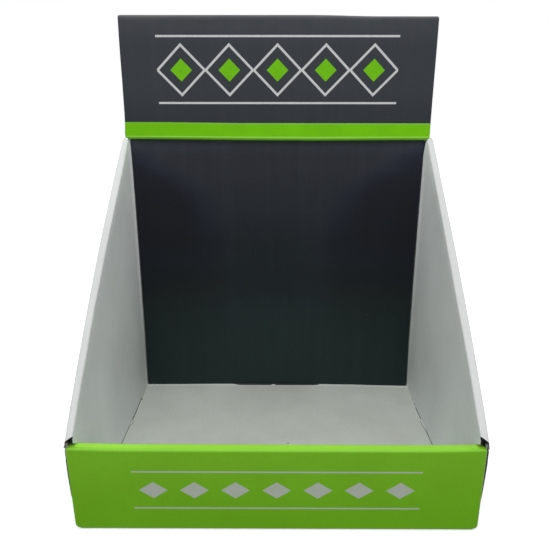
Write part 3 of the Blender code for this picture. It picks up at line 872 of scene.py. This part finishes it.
chip("slot_end_L", "base", [(-114.9, 116.2), (-114.95, 109.4), (-114.2, 109.0), (-113.85, 110.2), (-114.1, 115.6)], T + 0.02, T + 0.34,
     [pale, raw_painted_shade])
chip("slot_end_R", "base", [(115.1, 104.2), (115.1, 117.6), (114.2, 117.4), (113.75, 116.6), (114.55, 104.8)], T + 0.02, T + 0.34,
     [pale, raw_painted_shade])
board("front_tab", "base", ["front_lock_tab"], Vector((0, FRONT_ROLL - T / 2, 0)), -X, Z,
      rect(-30, 30, 0.1, T), PRINT_G)
board("back_tab", "base", ["back_lock_tab"], Vector((0, BACK_Y + T / 2, 0)), X, Z,
      rect(-37.5, 37.5, 0.1, T), PRINT_B)

# ------------------------------------------------------------------ front wall
R_TOP, R_IN, R_CORNER = 1.7, 1.5, 2.8


def mitre(y, sgn):
    """Half width of the front roll, which narrows towards its rear edge."""
    t = clip(y / FRONT_ROLL)
    return FRONT_L - 1.5 * t ** 1.15 if sgn < 0 else FRONT_R - 1.7 * t


def roll_span(p):
    return FRONT_L - mitre(p.y, -1), FRONT_L + mitre(p.y, 1)


def lining_span(p):
    k = clip((FRONT_H - 0.9 - p.z) / 0.6)
    ends = [mitre(p.y, sgn) + (LINING - mitre(p.y, sgn)) * k for sgn in (-1, 1)]
    return FRONT_L - ends[0], FRONT_L + ends[1]


board("front_panel", "front_outer", ["front_outer_panel"], Vector((0, T / 2, 0)), X, Z,
      rounded([(-FRONT_L + 0.55, R_FOOT), (FRONT_R, R_FOOT), (FRONT_R, FRONT_H - R_TOP), (-FRONT_L, FRONT_H - R_TOP)],
              [R_CORNER, R_CORNER, 0, 0], 8), PRINT_G,
      shift=front_lift)
board("front_roll_top", "front_roll", ["front_top_roll"], Vector((0, 0, FRONT_H - T / 2)), X, Y,
      [(-mitre(R_TOP, -1), R_TOP), (mitre(R_TOP, 1), R_TOP), (mitre(FRONT_ROLL - R_IN, 1), FRONT_ROLL - R_IN),
       (-mitre(FRONT_ROLL - R_IN, -1), FRONT_ROLL - R_IN)], PRINT_T, shift=roll_skew, warp=front_lift, grid=(8, 4))
board("front_lining", "front_inner", ["front_inner_panel"], Vector((0, FRONT_ROLL - T / 2, 0)), -X, Z,
      rect(-LINING, LINING, T + 0.3, FRONT_H - R_IN), PRINT_T, shift=roll_skew, warp=front_lift)
L, R = -FRONT_L, FRONT_R
fold("front_foot_crease", Vector((L + 0.55 + R_CORNER, 0, 0)), Vector((R - R_CORNER, 0, 0)), Y, Z, R_FOOT, PRINT_G,
     blend=("base", "front_outer"), ext=(0.4, 0))
fold("front_top_crease", Vector((L, 0, FRONT_H)), Vector((R, 0, FRONT_H)), -Z, Y, R_TOP, PRINT_G,
     blend=("front_outer", "front_roll"), span=roll_span, warp=roll_warp, step=6.0)
fold("front_lining_crease", Vector((L, FRONT_ROLL, FRONT_H)), Vector((R, FRONT_ROLL, FRONT_H)), -Y, -Z, R_IN,
     PRINT_T, blend=("front_roll", "front_inner"), span=lining_span, warp=roll_warp, step=6.0)

# ------------------------------------------------------------------ side walls
R_SIDE, R_POST = 1.15, 1.0
# the lining's front end is cut back over the front wall
NOSE = [(0.4, 58.6), (5.0, 55.62), (5.84, 55.30), (6.35, 54.75), (6.6, 54.2), (FRONT_ROLL + 0.3, 53.4)]
LIP_Y, LIP_Z = -0.1, 56.3          # the outer layer reaches over the end of the front wall
ENDS = {-1.0: (-2.4, -0.6), 1.0: (-2.2, 0.1)}     # front ends of the roll's two edges along the slope
# how far the roll's upper end reaches beyond the slope, across its width: it tucks up to the header
TIP = {-1.0: ((0.0, 2.3), (0.6, 3.8), (1.6, 5.0), (2.1, 5.0), (2.5, 4.3), (3.5, 3.4), (4.3, 2.7), (4.85, 2.0)),
       1.0: ((0.0, 2.7), (0.7, 4.3), (1.6, 5.0), (2.1, 4.8), (2.5, 4.2), (3.5, 3.0), (4.3, 1.8), (4.85, 0.8))}
SHOULDER_UP = 214.4
drop = R_SIDE / math.cos(SLOPE)
out_y0, out_y1 = T + 0.3, DEPTH - T - 0.3


NEAR = [-1.0, 0.8, 2.6, 4.5, 6.5, 9.0, 12.0, 15.5, 20.0]
LOW = [52.0, 54.0, 56.0, 58.0, 60.0]


def under(y):
    return slope_z(y) - drop


def roll_end(d, sgn):
    return ENDS[sgn][0] + (ENDS[sgn][1] - ENDS[sgn][0]) * clip(d / SIDE_ROLL)


for tag, sgn, body in (("L", -1.0, "left_side"), ("R", 1.0, "right_side")):
    mats_out = [black_side, reverse_side_painted_shade, raw_grey_painted_shade]
    mats_in = [white_in_painted_shading, reverse_side_painted_shade, raw_side_painted_shade]
    mats_roll = [white, reverse_side_painted_shade, raw_side_painted_shade]
    sh = SY0 + (SHOULDER_UP + drop - SZ0) / math.tan(SLOPE)
    outer = [(out_y0 + R_POST, R_FOOT), (out_y1 - R_POST, R_FOOT), (out_y1 - R_POST, SHOULDER_UP), (sh, SHOULDER_UP),
             (LIP_Y, under(LIP_Y)), (LIP_Y, LIP_Z), (out_y0 + R_POST, LIP_Z)]
    tab = 148.8 if sgn < 0 else 145.0
    inner = [(FRONT_ROLL + 0.3, 1.8), (112.0, 1.8), (113.0, 0.2), (tab, 0.2), (tab + 0.6, 1.8), (BACK_Y - 0.3, 1.8),
             (BACK_Y - 0.3, 205.0), (BACK_Y - (1.5 if sgn < 0 else 4.8), SHOULDER_UP), (sh, SHOULDER_UP), (NOSE[0][0], under(NOSE[0][0]))] + NOSE
    if sgn < 0:
        board("side_outer_" + tag, body, ["side_outer_panel_" + tag], Vector((-HALF + T / 2, 0, 0)), -Y, Z,
              [(-a, b) for a, b in reversed(outer)], mats_out, flute="u", warp=side_bow, dense="hi",
              extra=[(0, -q) for q in NEAR] + [(1, q) for q in LOW])
        board("side_lining_" + tag, body, ["side_inner_panel_" + tag], Vector((-HALF + SIDE_ROLL - T / 2, 0, 0)), Y, Z,
              inner, mats_in, flute="u", warp=side_bow, dense="lo", extra=[(0, q) for q in NEAR])
    else:
        board("side_outer_" + tag, body, ["side_outer_panel_" + tag], Vector((HALF - T / 2, 0, 0)), Y, Z,
              outer, mats_out, flute="u", warp=side_bow, dense="lo",
              extra=[(0, q) for q in NEAR] + [(1, q) for q in LOW])
        board("side_lining_" + tag, body, ["side_inner_panel_" + tag], Vector((HALF - SIDE_ROLL + T / 2, 0, 0)), -Y, Z,
              [(-a, b) for a, b in reversed(inner)], mats_in, flute="u", warp=side_bow, dense="hi",
              extra=[(0, -q) for q in NEAR])

    along = Vector((0, math.cos(SLOPE), math.sin(SLOPE)))
    down = Vector((0, math.sin(SLOPE), -math.cos(SLOPE)))
    inward = X * -sgn
    top = Vector((sgn * HALF, SY0, SZ0))

    def roll_cut(p, sgn=sgn):
        d = HALF - abs(p.x)
        return roll_end(d, sgn), SLOPE_LEN + profile(d, TIP[sgn])

    # flat of the roll between its two creases
    flat = [(roll_end(R_SIDE, sgn), R_SIDE)]
    flat += [(SLOPE_LEN + profile(d, TIP[sgn]), d) for d in (R_SIDE, 1.5, 2.0, 2.5, 3.1, SIDE_ROLL - R_SIDE)]
    flat += [(roll_end(SIDE_ROLL - R_SIDE, sgn), SIDE_ROLL - R_SIDE)]
    if sgn < 0:     # u x v must point up: inward x along for the left, along x inward for the right
        board("side_roll_" + tag, body, ["side_top_roll_" + tag], top + down * (T / 2), inward, along,
              [(b, a) for a, b in reversed(flat)], mats_roll, flute="v", warp=side_bow, grid=(4, 10),
              dense="lo", extra=[(1, q) for q in NEAR])
    else:
        board("side_roll_" + tag, body, ["side_top_roll_" + tag], top + down * (T / 2), along, inward,
              flat, mats_roll, flute="u", warp=side_bow, grid=(10, 4), dense="lo", extra=[(0, q) for q in NEAR])
    fold("side_outer_crease_" + tag, top, top + along * SLOPE_LEN, down, inward, R_SIDE,
         mats_roll, body=body, span=roll_cut, warp=side_bow, step=6.0, dense=1.8)
    top_in = Vector((sgn * (HALF - SIDE_ROLL), SY0, SZ0))
    fold("side_lining_crease_" + tag, top_in, top_in + along * SLOPE_LEN, -inward, down, R_SIDE,
         mats_roll, body=body, span=roll_cut, warp=side_bow, step=6.0, dense=1.8)
    fold("side_foot_crease_" + tag, Vector((sgn * HALF, 2.0, 0)), Vector((sgn * HALF, DEPTH - 2.0, 0)), inward, Z,
         R_FOOT, mats_out, blend=("base", body), ext=(0.4, 0))

    # corner flaps and the posts that carry them
    fx = HALF - R_POST
    flap = [(fx, 2.2), (fx, 38.0), (HALF - 32.0, 38.0), (HALF - 47.0, 16.0), (HALF - 47.0, 2.2)]
    rear = [(fx, 3.0), (fx, 180.0), (HALF - 58.0, 158.0), (HALF - 58.0, 14.0)]
    flap_r, rear_r = [0, 1.0, 5.0, 5.0, 1.5], [0, 2.0, 8.0, 8.0]
    if sgn > 0:
        board("front_flap_" + tag, body, ["front_corner_flap_" + tag], Vector((0, T + 0.3 + T / 2, 0)), X, Z,
              rounded(flap, flap_r), PRINT_B)
        board("rear_flap_" + tag, body, ["rear_corner_flap_" + tag], Vector((0, BACK_Y + T + 0.6 + T / 2, 0)), -X, Z,
              rounded([(-a, b) for a, b in rear], rear_r), PRINT_B)
    else:
        board("front_flap_" + tag, body, ["front_corner_flap_" + tag], Vector((0, T + 0.3 + T / 2, 0)), X, Z,
              rounded([(-a, b) for a, b in flap], flap_r), PRINT_B)
        board("rear_flap_" + tag, body, ["rear_corner_flap_" + tag], Vector((0, BACK_Y + T + 0.6 + T / 2, 0)), -X, Z,
              rounded(rear, rear_r), PRINT_B)
    fold("front_post_" + tag, Vector((sgn * HALF, out_y0, 2.2)), Vector((sgn * HALF, out_y0, LIP_Z)), Y, inward, R_POST,
         [black_post_shaded, reverse, raw], body=body, thick=0.95, warp=side_bow)
    # a sheet dark on every face inside the hollow at the front of the double wall: painted shade
    shade_sheet = [(3.2, 56.9), (16.0, 56.9), (16.0, 70.0), (3.2, 60.4)]
    if sgn < 0:
        board("hollow_shade_sheet_" + tag, body, None, Vector((-117.6, 0, 0)), -Y, Z, [(-a, b) for a, b in reversed(shade_sheet)],
              [black_in_painted_shading, black_in_painted_shading, black_in_painted_shading], flute="u")
    else:
        board("hollow_shade_sheet_" + tag, body, None, Vector((117.6, 0, 0)), Y, Z, shade_sheet,
              [black_in_painted_shading, black_in_painted_shading, black_in_painted_shading], flute="u")
    fold("rear_post_" + tag, Vector((sgn * HALF, out_y1, 3.0)), Vector((sgn * HALF, out_y1, 180.0)), -Y, inward, R_POST,
         PRINT_B, body=body, thick=0.9)

# ------------------------------------------------------------------ back wall and header
R_HEAD, R_INNER = 1.8, 1.9
shoulder = SHOULDER + 1.2
board("back_panel", "back_outer", ["back_outer_panel"], Vector((0, DEPTH - T / 2, 0)), -X, Z,
      rounded([(-BACK_HALF, R_FOOT), (BACK_HALF, R_FOOT), (BACK_HALF, shoulder), (HEADER_HALF, shoulder + 2.0),
               (HEADER_HALF, HEIGHT - R_HEAD), (-HEADER_HALF, HEIGHT - R_HEAD), (-HEADER_HALF, shoulder + 2.0),
               (-BACK_HALF, shoulder)], [R_CORNER, R_CORNER, 1.0, 0, 0, 0, 0, 1.0]), PRINT_B, shift=back_droop)
board("header_top", "header_top", ["header_top_roll"], Vector((0, 0, HEIGHT - T / 2)), X, Y,
      rect(-HEADER_HALF + 1.5, HEADER_HALF - 1.5, HEADER_Y + R_HEAD, DEPTH - R_HEAD), PRINT_B, shift=head_droop)
board("header_panel", "header_front", ["header_front_panel"], Vector((0, HEADER_Y + T / 2, 0)), X, Z,
      rect(-HEADER_HALF, HEADER_HALF, HEADER_LOW + R_LEDGE, HEIGHT - R_HEAD), PRINT_H, shift=head_droop, dense="lo",
      extra=[(1, q) for q in (219.0, 220.6, 222.4, 224.2, 228.0, 234.0)])
board("header_underside", "ledge", ["header_ledge"], Vector((0, 0, HEADER_LOW + T / 2)), -X, Y,
      [(-114.5, HEADER_Y + R_LEDGE), (114.5, HEADER_Y + R_LEDGE), (LINING, BACK_Y + T - R_INNER),
       (-LINING, BACK_Y + T - R_INNER)], PRINT_L, shift=low_sag)
board("back_lining", "back_inner", ["back_inner_panel"], Vector((0, BACK_Y + T / 2, 0)), X, Z,
      [(-LINING - 0.6, T + 0.3), (LINING + 0.45, T + 0.3), (LINING, 115.0), (LINING, 202.0), (116.4, 206.0), (116.4, HEADER_LOW - 0.9), (LINING, HEADER_LOW + T - R_INNER),
       (-LINING, HEADER_LOW + T - R_INNER), (-115.4, HEADER_LOW - 0.9), (-115.4, 206.0), (-LINING, 202.0), (-LINING, 115.0)], PRINT_I, shift=low_sag, warp=foot_bow, dense="hi",
      extra=[(1, q) for q in (8.0, 18.0, 30.0, 42.0, 55.0, 206.0, 210.0)] + [(0, q) for q, _ in FOOT_BOW[1:-1]])
fold("back_foot_crease", Vector((-BACK_HALF + R_CORNER, DEPTH, 0)), Vector((BACK_HALF - R_CORNER, DEPTH, 0)), -Y, Z, R_FOOT, PRINT_B,
     blend=("base", "back_outer"), ext=(0.4, 0))
hl, hr = -HEADER_HALF, HEADER_HALF


def header_span(p):
    t = min(max((p.z - HEIGHT + R_HEAD) / R_HEAD, 0.0), 1.0)
    c = 1.5 * (1.0 - math.sqrt(1.0 - t * t))
    return c, 2 * HEADER_HALF - c


def low_span(p):
    c = 2.4 * clip((HEADER_LOW + R_LEDGE - p.z) / R_LEDGE) ** 1.8
    return c, 2 * HEADER_HALF - c


fold("header_back_crease", Vector((hl, DEPTH, HEIGHT)), Vector((hr, DEPTH, HEIGHT)), -Z, -Y, R_HEAD, PRINT_B,
     blend=("back_outer", "header_top"), span=header_span, warp=head_droop)
fold("header_top_crease", Vector((hl, HEADER_Y, HEIGHT)), Vector((hr, HEADER_Y, HEIGHT)), Y, -Z, R_HEAD, PRINT_H,
     blend=("header_top", "header_front"), span=header_span, warp=head_droop)
fold("header_low_crease", Vector((hl, HEADER_Y, HEADER_LOW)), Vector((hr, HEADER_Y, HEADER_LOW)), Z, Y, R_LEDGE, PRINT_L,
     blend=("header_front", "ledge"), span=low_span, warp=head_droop, seg=10)
fold("back_lining_crease", Vector((-LINING, BACK_Y + T, HEADER_LOW + T)), Vector((LINING, BACK_Y + T, HEADER_LOW + T)),
     -Y, -Z, R_INNER, PRINT_B, blend=("ledge", "back_inner"), thick=T, flip=True, warp=low_sag)

# ------------------------------------------------------------------ stage, light, camera
scene = bpy.context.scene
scene.view_settings.view_transform = "Standard"
scene.view_settings.look = "None"
DOME = 1.20

ground = bpy.data.meshes.new("studio_floor")
ground.from_pydata([(-4, -4, -0.0006), (4, -4, -0.0006), (4, 4, -0.0006), (-4, 4, -0.0006)], [], [(0, 1, 2, 3)])
floor = bpy.data.objects.new("studio_floor", ground)
scene.collection.objects.link(floor)
fm = Nodes("studio_floor_paper")
fm.link(fm.mix(fm.ramp(fm.noise(3.0, 2.0), 0.3, 0.7), (0.93, 0.93, 0.93), (0.95, 0.95, 0.95)), fm.bsdf.inputs["Base Color"])
fm.bsdf.inputs["Roughness"].default_value = 0.9
fm.bsdf.inputs["Specular IOR Level"].default_value = 0.1
fm.bsdf.inputs["Emission Color"].default_value = (1.0, 1.0, 1.0, 1.0)
fm.bsdf.inputs["Emission Strength"].default_value = 0.35
ground.materials.append(fm.mat)

floor.visible_diffuse = False
floor.visible_glossy = False

world = bpy.data.worlds.new("studio")
scene.world = world
world.use_nodes = True
wn = world.node_tree
for node in list(wn.nodes):
    wn.nodes.remove(node)
out = wn.nodes.new("ShaderNodeOutputWorld")
aim = wn.nodes.new("ShaderNodeTexCoord")
part = wn.nodes.new("ShaderNodeSeparateXYZ")
wn.links.new(aim.outputs["Generated"], part.inputs[0])
lift = wn.nodes.new("ShaderNodeMapRange")
lift.inputs["From Min"].default_value, lift.inputs["From Max"].default_value = -1.0, 1.0
wn.links.new(part.outputs["Z"], lift.inputs["Value"])
dome = wn.nodes.new("ShaderNodeValToRGB")
stops = ((0.0, 0.10), (0.46, 0.14), (0.54, 0.34), (0.75, 0.70), (0.92, 1.0), (1.0, 1.0))
while len(dome.color_ramp.elements) < len(stops):
    dome.color_ramp.elements.new(0.5)
for el, (at, v) in zip(dome.color_ramp.elements, stops):
    el.position = at
    el.color = (v, v, v, 1.0)
wn.links.new(lift.outputs["Result"], dome.inputs["Fac"])
back = wn.nodes.new("ShaderNodeBackground")
wn.links.new(dome.outputs["Color"], back.inputs["Color"])
back.inputs["Strength"].default_value = DOME
seen = wn.nodes.new("ShaderNodeBackground")
seen.inputs["Color"].default_value = (1.0, 1.0, 1.0, 1.0)
seen.inputs["Strength"].default_value = 1.0
path = wn.nodes.new("ShaderNodeLightPath")
pick = wn.nodes.new("ShaderNodeMixShader")
wn.links.new(path.outputs["Is Camera Ray"], pick.inputs[0])
wn.links.new(back.outputs[0], pick.inputs[1])
wn.links.new(seen.outputs[0], pick.inputs[2])
wn.links.new(pick.outputs[0], out.inputs["Surface"])


def area(name, at, target, size, power, colour=(1, 1, 1)):
    data = bpy.data.lights.new(name, "AREA")
    data.shape = "RECTANGLE"
    data.size, data.size_y = size
    data.energy = power
    data.color = colour
    obj = bpy.data.objects.new(name, data)
    obj.location = at
    obj.rotation_euler = (Vector(target) - Vector(at)).to_track_quat("-Z", "Y").to_euler()
    scene.collection.objects.link(obj)
    return obj


area("header_softbox", (0.0, -0.55, 0.95), (0, 0.08, 0.24), (1.2, 0.5), 2.2)

cam_data = bpy.data.cameras.new("camera")
cam = bpy.data.objects.new("camera", cam_data)
scene.collection.objects.link(cam)
scene.camera = cam
cam_data.sensor_width = 36.0
cam_data.sensor_fit = "HORIZONTAL"
cam_data.lens = 36.0 * 556.68 / 550.0
cam_data.clip_start, cam_data.clip_end = 0.01, 50.0
pitch, yaw, turn = math.radians(17.387), math.radians(-0.23), math.radians(0.04)
cp, sp, cy, sy = math.cos(pitch), math.sin(pitch), math.cos(yaw), math.sin(yaw)
forward = Vector((sy * cp, cy * cp, -sp))
side = Vector((cy, -sy, 0))
upward = side.cross(forward)
right_ax = side * math.cos(turn) + upward * math.sin(turn)
up_ax = upward * math.cos(turn) - side * math.sin(turn)
from mathutils import Matrix
cam.matrix_world = Matrix((
    (right_ax.x, up_ax.x, -forward.x, 0.0),
    (right_ax.y, up_ax.y, -forward.y, (-1.1333 * WIDTH - MID) * MM),
    (right_ax.z, up_ax.z, -forward.z, 1.0176 * WIDTH * MM),
    (0, 0, 0, 1)))
